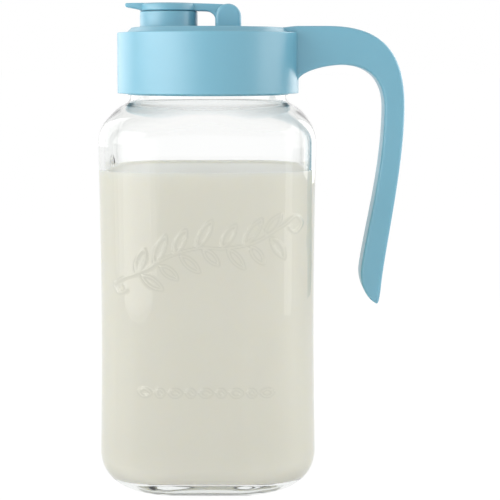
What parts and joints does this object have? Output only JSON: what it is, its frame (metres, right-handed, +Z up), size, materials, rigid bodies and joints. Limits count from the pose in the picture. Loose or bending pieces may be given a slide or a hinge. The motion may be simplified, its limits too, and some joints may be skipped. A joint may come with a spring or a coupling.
{
  "type": "mason jar pitcher",
  "caption": "Square glass mason jar of milk with a screwed plastic pour lid that has a side handle, a round spout and a hinged flip cap.",
  "frame": {"origin": "centre of the jar's foot, on the surface that it stands on", "axes": "+Z up, +X towards the handle, -X towards the spout's pouring side, -Y the front of the jar"},
  "size_m": [0.1565, 0.11, 0.2483],
  "materials": {
    "clear_glass": "clear, smooth, moulded",
    "milk": "opaque creamy liquid with a calm surface",
    "blue_plastic": "satin moulded polypropylene"
  },
  "bodies": {
    "pitcher": {"jar": "clear_glass", "milk": "milk", "lid": "blue_plastic"},
    "cap": {"flip_cap": "blue_plastic"}
  },
  "joints": [
    {"name": "cap_hinge", "type": "hinge", "parent": "pitcher", "child": "cap", "pos_m": [0.0105, 0, 0.2412], "axis": [0, 1, 0], "range_deg": [0, 110]}
  ]
}
